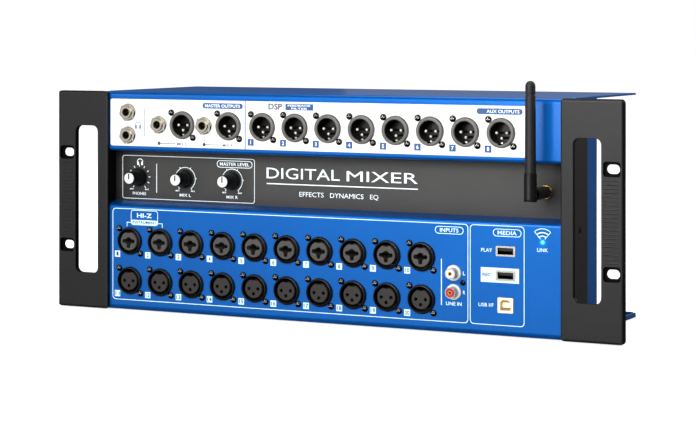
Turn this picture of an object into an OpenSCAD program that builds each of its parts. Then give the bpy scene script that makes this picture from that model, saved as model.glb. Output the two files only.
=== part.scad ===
// Rack-mount digital stage mixer, four rack units high, with a folding wireless antenna.
// +X is to the right seen from the front, +Y runs back into the rack and +Z is up.
// The origin is the centre of the four rack bolts, on the rear face of the rack ears.

/* [Rack] */
// Overall width over the two rack ears
rack_w = 482.6; // [482:0.1:483.4]
// Height of the front, four rack units less the usual gap
rack_h = 177.8; // [176.2:0.2:177.8]
// Distance between the left and right bolt centres
bolt_span_x = 465.1; // [464:0.1:466]
// Distance between the upper and lower bolt centres
bolt_span_z = 76.2; // [76:0.1:76.4]
// Length of a bolt slot
bolt_slot_l = 10.3; // [9.5:0.1:11]
// Width of a bolt slot
bolt_slot_w = 6.9; // [6.5:0.1:7.1]
// Thickness of a rack ear
ear_t = 5.6; // [5:0.1:6.5]
// Distance of the ears' rear face behind the case's front face
ear_back = 2.2; // [1.5:0.1:2.6]
// Width of the hand slot in an ear
hand_slot_w = 21.5; // [18:0.5:22]
// Height of the hand slot in an ear
hand_slot_h = 121; // [100:1:124]

/* [Case] */
// Half of the case's width, without the ears
case_half_w = 199.5; // [199:0.1:200]
// Distance from the front face to the rear edge of the covers
case_depth = 158; // [150:1:170]
// Thickness of the sheet steel
sheet = 1.5; // [1.2:0.1:1.8]
// Radius of the bend along the front edges
edge_bend = 4; // [3:0.5:5]
// Depth of the black control channel behind the front face
channel_depth = 15; // [13:0.5:16]
// Height of the channel's upper edge
channel_top = 40.5; // [40:0.5:41.5]
// Height of the channel's lower edge at the front
channel_bottom = -3.8; // [-5:0.1:-3]
// Rise of the sloping lower ledge from front to back
ledge_rise = 2.8; // [1:0.1:3.4]
// Distance from the front face to the side bays
bay_start = 60; // [56:1:64]
// Depth of a side bay, from the covers' edge to its inner wall
bay_depth = 37.5; // [35:0.5:40]

/* [Connectors] */
// Distance between neighbouring connectors
pitch = 28.5; // [28:0.1:29]
// Centre of the first numbered output
first_output_x = -53.3; // [-54:0.1:-53]
// Height of the output row
output_z = 62.4; // [61:0.1:63]
// Centre of the first numbered input
first_input_x = -174.3; // [-175:0.1:-174]
// Height of the upper input row
upper_input_z = -32.8; // [-33.5:0.1:-32]
// Height of the lower input row
lower_input_z = -65; // [-65.5:0.1:-64]
// Outer radius of a round connector's ring
ring_r = 11.15; // [11:0.05:11.3]
// How far a ring stands in front of the panel
ring_proud = 2.4; // [1.5:0.1:3]

/* [Controls] */
// Distance between the three knobs
knob_pitch = 43; // [42:0.5:44]
// Centre of the first knob
first_knob_x = -174.2; // [-175:0.1:-174]
// Height of the knob row
knob_z = 18.2; // [17:0.1:19]
// Radius of a knob's skirt at its base
knob_r = 7.2; // [6.5:0.1:8]
// Height of a knob above the channel plate
knob_h = 17.3; // [15:0.1:18]

/* [Antenna] */
// Antenna connector's place across the front
antenna_x = 176.2; // [175:0.1:177]
// Antenna connector's height
antenna_z = 18.6; // [18:0.1:20]
// Distance of the upright whip in front of the ears' rear face
antenna_reach = 19; // [17:0.5:22]
// Length of the whip above its hinge
whip_l = 83.4; // [70:0.1:90]
// Radius of the whip just above its sleeve
whip_r = 4.1; // [3.5:0.1:4.5]

/* [Hidden] */
$fn = 48;

half_h = rack_h / 2;
eps = 0.01;
hug = 0.02;              // gap between pieces that seat against each other
run = 0.05;              // radial running clearance
cover_half_w = case_half_w + 0.5;
inner_wall_x = cover_half_w - bay_depth;
pilot_r = 1.55;          // holes that the cover screws' threads pass
rear_flange = 12;        // folds along the rear panel's top and bottom
floor_screw_y = [50, 134];  // rows of screws that hold the boards' standoffs and the supply
ear_inner_x = case_half_w - 6;
flange_t = 3;
flange_depth = 31;
flange_half_h = 82;
lip = 12;                // depth of the front panels' fold under and over the covers
wall_half_w = case_half_w - sheet;
panel_hole_r = ring_r + 0.15;
label_t = 0.3;
n_outputs = 8;
n_inputs = 10;
master_x = [-125.5, -83.5];
output_x = concat(master_x, [for (i = [0 : n_outputs - 1]) first_output_x + i * pitch]);
input_x = [for (i = [0 : n_inputs - 1]) first_input_x + i * pitch];
knob_x = [for (i = [0 : 2]) first_knob_x + i * knob_pitch];
screw_offset = 9.9;      // of a connector's two screws from its centre, each way
screw_sides = [[-1, 1], [1, -1]];
cup_r = 8.3;             // bore of an output connector
socket_r = 9.6;          // bore of an input connector
insert_r = 7.6;
pin_circle_r = 4;
pin_angles = [0, 180, 270];
pin_r = 1.15;
jack_centres = [[-175.8, 72], [-175.8, 53.4], [-146.9, 62.4], [-105.4, 62.4]];
jack_bore_r = 3.25;
board_y = 34;            // front face of the boards behind the connectors
board_t = 1.6;
rca_x = 108.5;
rca_z = [-43.6, -57.9];
rca_screw_dx = 7.3;
usb_x = 149.8;
usb_a_z = [-25.4, -43.6];
usb_b_z = -65.6;
light_x = 178.7;
light_z = -17.4;
shaft_r = 3;
mixer_board_z = -78;
ledge_angle = atan2(ledge_rise, channel_depth);
hinge_y = -antenna_reach;
inlet_y = 118;
inlet_z = 18;
switch_y = 118;
switch_z = -24;

// ---------- helpers ----------

// Parts are drawn from the case's front face, and the origin is on the ears' rear face
module from_front() {
    translate([0, -ear_back, 0]) children();
}

function arc(cx, cy, r, a0, a1, n = 8) =
    [for (i = [0 : n]) [cx + r * cos(a0 + (a1 - a0) * i / n), cy + r * sin(a0 + (a1 - a0) * i / n)]];

function rounded_outline(x0, x1, y0, y1, r, n = 6) = concat(
    arc(x1 - r, y1 - r, r, 0, 90, n), arc(x0 + r, y1 - r, r, 90, 180, n),
    arc(x0 + r, y0 + r, r, 180, 270, n), arc(x1 - r, y0 + r, r, 270, 360, n));

// A front-view outline, carried from y0 back to y1
module along_y(y0, y1) {
    translate([0, y1, 0]) rotate([90, 0, 0]) linear_extrude(y1 - y0) children();
}

// A side-view outline (depth, height), carried from x0 to x1
module along_x(x0, x1) {
    translate([x0, 0, 0]) rotate([90, 0, 90]) linear_extrude(x1 - x0) children();
}

module rod_y(x, z, y0, y1, r) {
    translate([x, y1, z]) rotate([90, 0, 0]) cylinder(h = y1 - y0, r = r);
}

module rod_x(y, z, x0, x1, r) {
    translate([x0, y, z]) rotate([0, 90, 0]) cylinder(h = x1 - x0, r = r);
}

module block(x0, x1, y0, y1, z0, z1) {
    translate([x0, y0, z0]) cube([x1 - x0, y1 - y0, z1 - z0]);
}

// A turned shape: children hold radius across and distance in front of the panel up
module lathe_y(x, z) {
    translate([x, 0, z]) rotate([90, 0, 0]) rotate_extrude() children();
}

module slot_outline(length, width) {
    square([length - width, width], center = true);
    translate([(length - width) / 2, 0]) circle(d = width);
    translate([-(length - width) / 2, 0]) circle(d = width);
}

// Pan-head screw whose head rests at y, with a crossed recess
module pan_screw(x, y, z, head_r = 2.6, head_h = 1.7, shank_r = 1.25, shank_l = 7) {
    recess = head_r * 0.55;
    blade = head_r * 0.22;
    translate([x, y, z]) rotate([90, 0, 0]) difference() {
        union() {
            rotate_extrude() polygon(concat([[0, 0], [head_r, 0], [head_r, head_h * 0.3]],
                [for (a = [20 : 20 : 80]) [head_r * cos(a), head_h * (0.3 + 0.7 * sin(a))]],
                [[0, head_h]]));
            translate([0, 0, -shank_l]) cylinder(h = shank_l + eps, r = shank_r);
        }
        for (turn = [0, 90]) rotate([0, 0, turn])
            translate([-recess, -blade, head_h * 0.35]) cube([2 * recess, 2 * blade, head_h]);
    }
}

// Flush screw with a conical head; its flat top sits just under the face
module flush_screw(head_r = 3, shank_r = 1.45, shank_l = 6) {
    cone = head_r - shank_r;
    difference() {
        translate([0, 0, -0.1]) rotate_extrude() polygon([[0, 0], [head_r - 0.1, 0],
            [shank_r - 0.1, -cone], [shank_r - 0.1, -shank_l], [0, -shank_l]]);
        for (turn = [0, 90]) rotate([0, 0, turn])
            translate([-head_r * 0.5, -0.45, -1]) cube([head_r, 0.9, 2]);
    }
}

module countersink(head_r = 3, shank_r = 1.45) {
    cone = head_r - shank_r;
    rotate_extrude() polygon([[0, 1], [head_r, 1], [head_r, 0], [shank_r, -cone],
        [shank_r, -8], [0, -8]]);
}

// ---------- case ----------

// Side view of a folded front sheet: lip, front bend, face, lower bend and ledge
function folded_section(top, bottom, ledge_end) = concat(
    [[lip, top]], arc(edge_bend, top - edge_bend, edge_bend, 90, 180),
    arc(2.5, bottom + 2.5, 2.5, 180, 270), [[ledge_end, bottom], [ledge_end, bottom + sheet]],
    arc(2.5, bottom + 2.5, 2.5 - sheet, 270, 180),
    arc(edge_bend, top - edge_bend, edge_bend - sheet, 180, 90), [[lip, top - sheet]]);

// Side view of the lower front sheet, drawn upside down, with a sloping ledge
function sloping_section(bottom, face_top) =
    let (r = 3, s = ledge_angle, top_line = face_top, centre_z = top_line - r / cos(s) + r * tan(s))
    concat([[lip, bottom]], arc(edge_bend, bottom + edge_bend, edge_bend, 270, 180),
        arc(r, centre_z, r, 180, 90 + s),
        [[channel_depth - 0.05, top_line + (channel_depth - 0.05) * tan(s)],
         [channel_depth - 0.05, top_line + (channel_depth - 0.05) * tan(s) - sheet / cos(s)]],
        arc(r, centre_z, r - sheet, 90 + s, 180),
        arc(edge_bend, bottom + edge_bend, edge_bend - sheet, 180, 270), [[lip, bottom + sheet]]);

module screw_holes(centres, z, r) {
    for (x = centres) for (side = screw_sides)
        rod_y(x + side[0] * screw_offset, z + side[1] * screw_offset, -2, 6, r);
}

module front_outline(z0, z1) {
    along_y(-5, lip + channel_depth)
        polygon(rounded_outline(-case_half_w, case_half_w, z0, z1, 3));
}

// The side walls' front edges stand behind a front panel's face, between its lips
module side_wall_room() {
    for (side = [0, 1]) mirror([side, 0, 0])
        block(case_half_w - sheet - hug, case_half_w + 1, sheet - hug, channel_depth + 1,
            sheet - half_h - hug, half_h - sheet + hug);
}

module output_panel() {
    color("royalblue") difference() {
        intersection() {
            along_x(-case_half_w, case_half_w)
                polygon(folded_section(half_h, channel_top, channel_depth - 0.05));
            front_outline(channel_top, half_h);
        }
        for (x = output_x) rod_y(x, output_z, -2, 4, panel_hole_r);
        screw_holes(output_x, output_z, 1.7);
        for (c = jack_centres) rod_y(c[0], c[1], -2, 4, 5);
        cover_screw_places(half_h) countersink();
        side_wall_room();
    }
}

module input_panel() {
    color("royalblue") difference() {
        intersection() {
            along_x(-case_half_w, case_half_w)
                polygon(sloping_section(-half_h, channel_bottom));
            front_outline(-half_h, channel_bottom + ledge_rise + 1);
        }
        for (x = input_x) for (z = [upper_input_z, lower_input_z])
            rod_y(x, z, -2, 4, panel_hole_r);
        screw_holes(input_x, upper_input_z, 1.7);
        screw_holes(input_x, lower_input_z, 1.7);
        for (z = rca_z) rod_y(rca_x, z, -2, 4, 4.6);
        rod_y(rca_x + rca_screw_dx, (rca_z[0] + rca_z[1]) / 2, -2, 4, 1.7);
        for (z = usb_a_z) block(usb_x - 7, usb_x + 7, -2, 4, z - 3.3, z + 3.3);
        block(usb_x - 6.4, usb_x + 6.4, -2, 4, usb_b_z - 5.9, usb_b_z + 5.9);
        rod_y(light_x, light_z, -2, 4, 1.6);
        cover_screw_places(-half_h) countersink();
        side_wall_room();
    }
}

module control_panel() {
    z0 = channel_bottom - 2;
    z1 = channel_top + 4;
    y0 = channel_depth;
    color("dimgray") difference() {
        union() {
            block(-wall_half_w + 0.2, wall_half_w - 0.2, y0, y0 + sheet, z0, z1);
            block(-wall_half_w + 0.2, wall_half_w - 0.2, y0, y0 + 10, z1 - sheet, z1);
            block(-wall_half_w + 0.2, wall_half_w - 0.2, y0, y0 + 10, z0, z0 + sheet);
        }
        for (x = knob_x) rod_y(x, knob_z, y0 - 1, y0 + sheet + 1, 3.6);
        rod_y(antenna_x, antenna_z, y0 - 1, y0 + sheet + 1, 3.25);
    }
}

// Black sheets that close the channel's two ends, just inside the side walls
module channel_cheeks() {
    y0 = edge_bend - 1.4;
    y1 = channel_depth - hug;
    color("dimgray") for (side = [0, 1]) mirror([side, 0, 0])
        along_x(wall_half_w - 1.4, wall_half_w - 0.2) polygon([
            [y0, channel_bottom + y0 * tan(ledge_angle) + hug], [y0, channel_top - hug],
            [y1, channel_top - hug], [y1, channel_bottom + y1 * tan(ledge_angle) + hug]]);
}

// The cover screws stand along the front lips, heads up above and heads down below
module cover_screw_places(z) {
    for (x = [-165, -55, 55, 165]) translate([x, 7.6, z])
        rotate([z > 0 ? 0 : 180, 0, 0]) children();
}

module rear_screw_places(z) {
    for (x = [-145, 0, 145]) translate([x, case_depth - 8, z])
        rotate([z > 0 ? 0 : 180, 0, 0]) children();
}

module cover_plate(z0, z1) {
    translate([0, 0, z0]) linear_extrude(z1 - z0)
        polygon(concat([[-cover_half_w, lip + 0.2], [cover_half_w, lip + 0.2]],
            arc(cover_half_w - 3, case_depth - 3, 3, 0, 90),
            arc(-cover_half_w + 3, case_depth - 3, 3, 90, 180)));
}

// A joggled tongue passes under the front panel's lip and takes its screws
module cover_tongue(z0, z1) {
    block(-wall_half_w + 2, wall_half_w - 2, edge_bend, lip + 10, z0, z1);
}

module top_cover() {
    color("royalblue") difference() {
        union() {
            cover_plate(half_h - sheet, half_h);
            cover_tongue(half_h - 2 * sheet, half_h - sheet);
        }
        cover_screw_places(half_h) cylinder(h = 12, r = pilot_r, center = true);
        rear_screw_places(half_h) countersink();
    }
}

// Turned-up hem along the free edges of the bottom cover, beside and behind the bays
module bay_hem(z0, z1) {
    for (side = [0, 1]) mirror([side, 0, 0]) {
        block(cover_half_w - sheet, cover_half_w, bay_start + 4, case_depth - 3, z0, z1);
        block(inner_wall_x + 4, cover_half_w - 3, case_depth - sheet, case_depth, z0, z1);
    }
}

module bottom_cover() {
    color("royalblue") difference() {
        union() {
            cover_plate(-half_h, -half_h + sheet);
            cover_tongue(-half_h + sheet, -half_h + 2 * sheet);
            bay_hem(-half_h + sheet - eps, -half_h + sheet + 2);
        }
        cover_screw_places(-half_h) cylinder(h = 12, r = pilot_r, center = true);
        rear_screw_places(-half_h) countersink();
        for (x = [-140, 0, 140]) for (y = floor_screw_y)
            translate([x, y, -half_h]) rotate([180, 0, 0]) countersink();
    }
}

module rear_panel() {
    inside = half_h - sheet;
    y1 = case_depth - 2;
    hw = inner_wall_x - 0.1;
    color("royalblue") difference() {
        union() {
            block(-hw, hw, y1 - sheet, y1, -inside, inside);
            block(-hw, hw, y1 - rear_flange, y1 - eps, inside - sheet, inside);
            block(-hw, hw, y1 - rear_flange, y1 - eps, -inside, -inside + sheet);
        }
        for (z = [half_h, -half_h])
            rear_screw_places(z) cylinder(h = 12, r = pilot_r, center = true);
        for (column = [-3 : 3]) for (row = [0 : 6])
            translate([column * 40, 0, 50 - row * 7]) along_y(y1 - 4, y1 + 2) slot_outline(28, 3);
    }
}

// Plan view of one side: front stretch, step in to the bay, and the bay's inner wall
module side_sheet() {
    x2 = case_half_w;
    x1 = inner_wall_x;
    linear_extrude(rack_h - 2 * sheet, center = true) polygon([
        [x2, sheet], [x2, bay_start + sheet], [x1 + sheet, bay_start + sheet],
        [x1 + sheet, case_depth - 2], [x1, case_depth - 2], [x1, bay_start],
        [x2 - sheet, bay_start], [x2 - sheet, sheet]]);
}

module ear_screw_places() {
    for (z = [-66, -9, 66]) translate([case_half_w, 14, z]) rotate([0, 90, 0]) children();
}

module side_wall_right() {
    x = inner_wall_x;
    color("royalblue") difference() {
        side_sheet();
        ear_screw_places() cylinder(h = 12, r = 1.7, center = true);
        block(x - 1, x + 4, inlet_y - 14, inlet_y + 14, inlet_z - 10.5, inlet_z + 10.5);
        block(x - 1, x + 4, switch_y - 9.6, switch_y + 9.6, switch_z - 6.6, switch_z + 6.6);
    }
}

module side_wall_left() {
    x = -inner_wall_x;
    color("royalblue") difference() {
        mirror([1, 0, 0]) side_sheet();
        mirror([1, 0, 0]) ear_screw_places() cylinder(h = 12, r = 1.7, center = true);
        block(x - 4, x + 1, 94, 110.4, 8, 21.8);
        block(x - 4, x + 1, 124, 139.4, 12, 18);
        rod_x(101, -22, x - 4, x + 1, 4.9);
        rod_x(131, -22, x - 4, x + 1, 4.9);
    }
}

module rack_ear_right() {
    x0 = ear_inner_x;
    x1 = rack_w / 2;
    y0 = ear_back - ear_t;
    y1 = ear_back;
    r = 2;
    inner_r = 1.2;
    slot_x = 203;
    slot_r = 5;
    clear_x = case_half_w + 1;
    color("dimgray") difference() {
        union() {
            intersection() {
                along_y(y0, y1) polygon(rounded_outline(x0, x1, -half_h, half_h, 3));
                translate([0, 0, -half_h]) linear_extrude(rack_h) polygon(concat(
                    [[x1, y1], [clear_x, y1], [clear_x, -0.1], [x0, -0.1]],
                    arc(x0 + inner_r, y0 + inner_r, inner_r, 180, 270, 5),
                    arc(x1 - r, y0 + r, r, 270, 360, 5)));
                along_x(x0, x1) polygon(concat([[y1, -half_h], [y1, half_h]],
                    arc(y0 + r, half_h - r, r, 90, 180, 5),
                    arc(y0 + r, r - half_h, r, 180, 270, 5)));
            }
            along_x(case_half_w + hug, case_half_w + flange_t) polygon(concat(
                [[-1, -flange_half_h], [-1, flange_half_h]],
                arc(flange_depth - 6, flange_half_h - 6, 6, 90, 0),
                arc(flange_depth - 6, 6 - flange_half_h, 6, 0, -90)));
        }
        along_y(y0 - 1, y1 + 1) polygon(rounded_outline(slot_x, slot_x + hand_slot_w,
            -hand_slot_h / 2, hand_slot_h / 2, slot_r));
        for (side = [-1, 1]) translate([bolt_span_x / 2, 0, side * bolt_span_z / 2]) {
            along_y(y0 - 1, y1 + 1) slot_outline(bolt_slot_l, bolt_slot_w);
            along_y(y0 - 1, y0 + 3) polygon(rounded_outline(-6.6, 6.6, -5.6, 5.6, 2.4, 5));
        }
        translate([flange_t, 0, 0]) ear_screw_places() countersink(3.6, 2.1);
    }
}

module rack_ear_left() {
    mirror([1, 0, 0]) rack_ear_right();
}

module ear_screws() {
    color("black") for (side = [0, 1]) mirror([side, 0, 0])
        translate([flange_t, 0, 0]) ear_screw_places() flush_screw(3.6, 1.6, 8);
}

module cover_screws() {
    color("black") for (z = [half_h, -half_h]) {
        cover_screw_places(z) flush_screw(3, 1.35, 5);
        rear_screw_places(z) flush_screw(3, 1.35, 5);
    }
    color("black") for (x = [-140, 0, 140]) for (y = floor_screw_y)
        translate([x, y, -half_h]) rotate([180, 0, 0]) flush_screw(3, 1.45, 6);
}

// ---------- output connectors ----------

module output_label_plate() {
    color("white") difference() {
        along_y(-label_t, 0) polygon(rounded_outline(-192.5, 167.5, 44.6, 82.7, 1.6));
        for (x = output_x) rod_y(x, output_z, -2, 2, panel_hole_r);
        screw_holes(output_x, output_z, 1.7);
        for (c = jack_centres) rod_y(c[0], c[1], -2, 2, 5);
    }
}

// Rear part of a round connector: a square flange that the panel screws pull forward
module connector_flange(x, z) {
    difference() {
        along_y(sheet, sheet + 2.2)
            polygon(rounded_outline(x - 13.2, x + 13.2, z - 13.2, z + 13.2, 2, 4));
        for (side = screw_sides)
            rod_y(x + side[0] * screw_offset, z + side[1] * screw_offset, 0, 6, 1.3);
    }
}

function ring_section(back) = [[0, -back], [ring_r - 0.9, -back], [ring_r - 0.9, -sheet - 1],
    [ring_r, -sheet - 1], [ring_r, ring_proud - 1.3], [ring_r - 0.25, ring_proud - 0.6],
    [ring_r - 0.8, ring_proud - 0.1], [ring_r - 1.2, ring_proud], [0, ring_proud]];

module round_shell(x, z, bore_r, back) {
    difference() {
        union() {
            lathe_y(x, z) polygon(ring_section(back));
            connector_flange(x, z);
        }
        rod_y(x, z, -ring_proud - 1, back + 1, bore_r);
        lathe_y(x, z) polygon([[bore_r - 1, ring_proud - 0.5], [bore_r, ring_proud - 0.5],
            [bore_r + 0.5, ring_proud + eps], [bore_r - 1, ring_proud + eps]]);
    }
}

module output_xlr_shells() {
    color("gray") for (x = output_x) difference() {
        round_shell(x, output_z, cup_r, 18);
        block(x - 1.6, x + 1.6, -ring_proud - 1, 10, output_z - cup_r - 0.9, output_z - 6);
    }
}

module pin_places(x, z) {
    for (a = pin_angles)
        translate([x + pin_circle_r * cos(a), 0, z + pin_circle_r * sin(a)]) children();
}

module output_xlr_inserts() {
    color("black") for (x = output_x) difference() {
        rod_y(x, output_z, 12, 18, cup_r - hug);
        pin_places(x, output_z) rod_y(0, 0, 11, 19, pin_r + hug);
    }
}

module output_xlr_pins() {
    color("silver") for (x = output_x) pin_places(x, output_z) lathe_y(0, 0)
        polygon(concat([[0, -board_y], [pin_r, -board_y]],
            [for (a = [0 : 15 : 75]) [pin_r * cos(a), -0.4 - pin_r + pin_r * sin(a)]],
            [[0, -0.4]]));
}

module output_screws() {
    color("black") for (x = output_x) for (side = screw_sides)
        pan_screw(x + side[0] * screw_offset, -label_t, output_z + side[1] * screw_offset);
}

module jack_bodies() {
    color("black") for (c = jack_centres) difference() {
        union() {
            rod_y(c[0], c[1], -4.4, sheet + 1, 4.7);
            block(c[0] - 6, c[0] + 6, sheet, board_y, c[1] - 7.4, c[1] + 7.4);
        }
        rod_y(c[0], c[1], -6, board_y - 2, jack_bore_r);
    }
}

module jack_nuts() {
    color("silver") for (c = jack_centres) difference() {
        union() {
            rod_y(c[0], c[1], -label_t - 0.6, -label_t, 6.9);
            translate([c[0], -label_t - 0.5, c[1]]) rotate([90, 0, 0]) intersection() {
                rotate([0, 0, 15]) cylinder(h = 2.6, r = 7.2, $fn = 6);
                rotate_extrude() polygon([[0, 0], [7.3, 0], [7.3, 2], [6.5, 2.6], [0, 2.6]]);
            }
        }
        rod_y(c[0], c[1], -6, 1, 4.7 + hug);
    }
}

// ---------- input connectors ----------

module combo_shells() {
    color("black") for (x = input_x) round_shell(x, upper_input_z, socket_r, 30);
}

// Face with a central plug bore and three merging pin openings
module combo_inserts() {
    color("darkslategray") for (x = input_x) difference() {
        lathe_y(x, upper_input_z) polygon([[0, -33], [socket_r - hug, -33],
            [socket_r - hug, -16], [insert_r, -16], [insert_r, ring_proud - 0.5],
            [insert_r - 0.4, ring_proud], [0, ring_proud]]);
        rod_y(x, upper_input_z, -5, 30, jack_bore_r);
        pin_places(x, upper_input_z) rod_y(0, 0, -5, 13, 1.75);
        block(x - 2, x + 2, -5, 12, upper_input_z + insert_r - 1.1, upper_input_z + insert_r + 1);
    }
}

module input_xlr_shells() {
    color("black") for (x = input_x) round_shell(x, lower_input_z, socket_r, 24);
}

module input_xlr_inserts() {
    color("darkslategray") for (x = input_x) difference() {
        lathe_y(x, lower_input_z) polygon([[0, -26], [socket_r - hug, -26],
            [socket_r - hug, -15], [insert_r, -15], [insert_r, ring_proud - 1],
            [insert_r - 0.4, ring_proud - 0.6], [0, ring_proud - 0.6]]);
        pin_places(x, lower_input_z) rod_y(0, 0, -5, 13, 1.4);
        block(x - 2, x + 2, -5, 12, lower_input_z + insert_r - 1.1, lower_input_z + insert_r + 1);
    }
}

module input_screws() {
    color("black") for (x = input_x) for (z = [upper_input_z, lower_input_z])
        for (side = screw_sides)
            pan_screw(x + side[0] * screw_offset, 0, z + side[1] * screw_offset);
    color("black") pan_screw(rca_x + rca_screw_dx, 0, (rca_z[0] + rca_z[1]) / 2, 2.2, 1.4);
}

module rca_shells() {
    color("gold") for (z = rca_z) difference() {
        union() {
            rod_y(rca_x, z, -7.5, sheet + 2, 4.15);
            rod_y(rca_x, z, sheet + 0.1, 12, 6);
        }
        rod_y(rca_x, z, -9, 10, 1.6);
        lathe_y(rca_x, z) polygon([[2.9, 5.5], [3.6, 5.5], [3.6, 8], [2.9, 8]]);
    }
}

module rca_collars() {
    color("white") for (z = rca_z) difference() {
        lathe_y(rca_x, z) polygon([[3, 0], [5.9, 0], [5.9, 1], [5.4, 1.6], [3, 1.6]]);
        rod_y(rca_x, z, -3, 1, 4.15 + hug);
    }
}

module usb_a_shells() {
    color("silver") for (z = usb_a_z) difference() {
        union() {
            block(usb_x - 6.6, usb_x + 6.6, -0.6, 16, z - 2.9, z + 2.9);
            along_y(-0.6, -hug)
                polygon(rounded_outline(usb_x - 7.7, usb_x + 7.7, z - 3.8, z + 3.8, 0.8, 4));
        }
        block(usb_x - 6.2, usb_x + 6.2, -2, 15, z - 2.5, z + 2.5);
    }
}

module usb_b_shell() {
    inner = [[-4.2, -3.9], [4.2, -3.9], [4.2, 2.1], [2.6, 3.9], [-2.6, 3.9], [-4.2, 2.1]];
    color("gainsboro") difference() {
        along_y(-0.8, 16) polygon(rounded_outline(usb_x - 6.1, usb_x + 6.1,
            usb_b_z - 5.7, usb_b_z + 5.7, 0.8, 4));
        translate([usb_x, 0, usb_b_z]) along_y(-2, 15) polygon(inner);
    }
}

module usb_tongues() {
    color("white") for (z = usb_a_z)
        block(usb_x - 5.6, usb_x + 5.6, 1, 15 - hug, z + 0.1, z + 2);
    color("white") block(usb_x - 2.8, usb_x + 2.8, 1.5, 15 - hug, usb_b_z - 1.7, usb_b_z + 1.7);
}

module status_light() {
    color("deepskyblue") lathe_y(light_x, light_z) polygon(concat(
        [[0, -12], [1.5, -12]], [for (a = [0 : 15 : 75]) [1.5 * cos(a), 0.2 + 0.6 * sin(a)]],
        [[0, 0.8]]));
}

// ---------- knobs ----------

module pot_bodies() {
    y0 = channel_depth + sheet;
    color("silver") for (x = knob_x) difference() {
        union() {
            block(x - 6, x + 6, y0 + hug, y0 + 11, knob_z - 8, knob_z + 6);
            rod_y(x, knob_z, y0 - 4.6, y0 + 1, 3.5);
        }
        rod_y(x, knob_z, y0 - 8, y0 + 8, shaft_r + run);
    }
}

module pot_nuts() {
    y1 = channel_depth - hug;
    color("silver") for (x = knob_x) difference() {
        translate([x, y1, knob_z]) rotate([90, 0, 0]) cylinder(h = 2, r = 4.7, $fn = 6);
        rod_y(x, knob_z, y1 - 3, y1 + 1, 3.5 + hug);
    }
}

module pot_shaft(i) {
    color("gray") rod_y(knob_x[i], knob_z, channel_depth - knob_h + 3, channel_depth + 8, shaft_r);
}

// Tapered knob whose flutes fade towards the cap, hollow behind to clear the nut
module knob(i) {
    top = knob_h - 1.2;
    flutes = 16;
    cap_seat_r = 4.6;
    color("black") translate([knob_x[i], channel_depth, knob_z]) rotate([90, 0, 0]) difference() {
        rotate_extrude() polygon([[0, 0.6], [knob_r - 0.3, 0.6], [knob_r, 1], [knob_r, 2.2],
            [knob_r - 0.5, 3], [cap_seat_r + 0.6, top - 2.5], [cap_seat_r, top], [0, top]]);
        translate([0, 0, -1]) cylinder(h = 4.4, r = 4.9);
        translate([0, 0, -1]) cylinder(h = knob_h - 2 + hug, r = shaft_r + hug);
        for (k = [0 : flutes - 1]) rotate([0, 0, (k + 0.5) * 360 / flutes])
            translate([knob_r - 0.35, 0, 4.2]) cylinder(h = knob_h, r = 0.7);
    }
}

module knob_cap(i) {
    top = knob_h - 1.2;
    color("white") translate([knob_x[i], channel_depth, knob_z]) rotate([90, 0, 0])
        rotate_extrude() polygon([[0, top], [4.35, top], [4.35, knob_h - 0.4], [3.9, knob_h],
            [0, knob_h]]);
}

module phones_shaft() { pot_shaft(0); }
module phones_knob() { knob(0); }
module phones_cap() { knob_cap(0); }
module mix_left_shaft() { pot_shaft(1); }
module mix_left_knob() { knob(1); }
module mix_left_cap() { knob_cap(1); }
module mix_right_shaft() { pot_shaft(2); }
module mix_right_knob() { knob(2); }
module mix_right_cap() { knob_cap(2); }

// ---------- antenna ----------

barrel_r = 3.1;
base_r = 4.7;
tongue_w = 4;            // of the arm's tongue, which stands in the sleeve's slot
tongue_r = 2.8;
hinge_pin_r = 1.25;
cable_r = 1.3;
cable_bend = 10;
module_y = 52;           // front face of the wireless module's board

// Threaded brass socket: front ring, through barrel, rear body and nut
module antenna_socket() {
    y0 = channel_depth;
    color("goldenrod") difference() {
        union() {
            lathe_y(antenna_x, antenna_z) polygon([[0, -y0 + hug], [5.35, -y0 + hug],
                [5.35, -y0 + 1.6], [5, -y0 + 2], [0, -y0 + 2]]);
            rod_y(antenna_x, antenna_z, y0 - 9, y0 + 9, barrel_r);
            translate([antenna_x, y0 + sheet + 3, antenna_z]) rotate([90, 0, 0])
                cylinder(h = 3 - hug, r = 5.2, $fn = 6);
        }
        rod_y(antenna_x, antenna_z, y0 - 10, y0 - 4, 2.2);
    }
}

// Swivelling arm: a bored end on the socket's barrel, and a tongue that holds the hinge pin
module antenna_base() {
    y0 = hinge_y + 6.3;
    y1 = channel_depth - 2 - run;
    half_w = tongue_w / 2;
    color("black") difference() {
        union() {
            rod_y(antenna_x, antenna_z, y0, y1, base_r);
            rod_x(hinge_y, antenna_z, antenna_x - half_w, antenna_x + half_w, tongue_r);
            block(antenna_x - half_w, antenna_x + half_w, hinge_y, y0 + 1,
                antenna_z - tongue_r + 0.2, antenna_z + tongue_r - 0.2);
        }
        rod_y(antenna_x, antenna_z, channel_depth - 9.5, y1 + 1, barrel_r + run);
        rod_x(hinge_y, antenna_z, antenna_x - 8, antenna_x + 8, hinge_pin_r + hug);
        for (k = [0 : 17]) translate([antenna_x, 0, antenna_z]) rotate([0, k * 20, 0])
            translate([0, y1 - 1, base_r + 0.25]) rotate([90, 0, 0]) cylinder(h = 6, r = 0.5);
    }
}

module antenna_hinge_pin() {
    color("silver") rod_x(hinge_y, antenna_z, antenna_x - 4.4, antenna_x + 4.4, hinge_pin_r);
}

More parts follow.
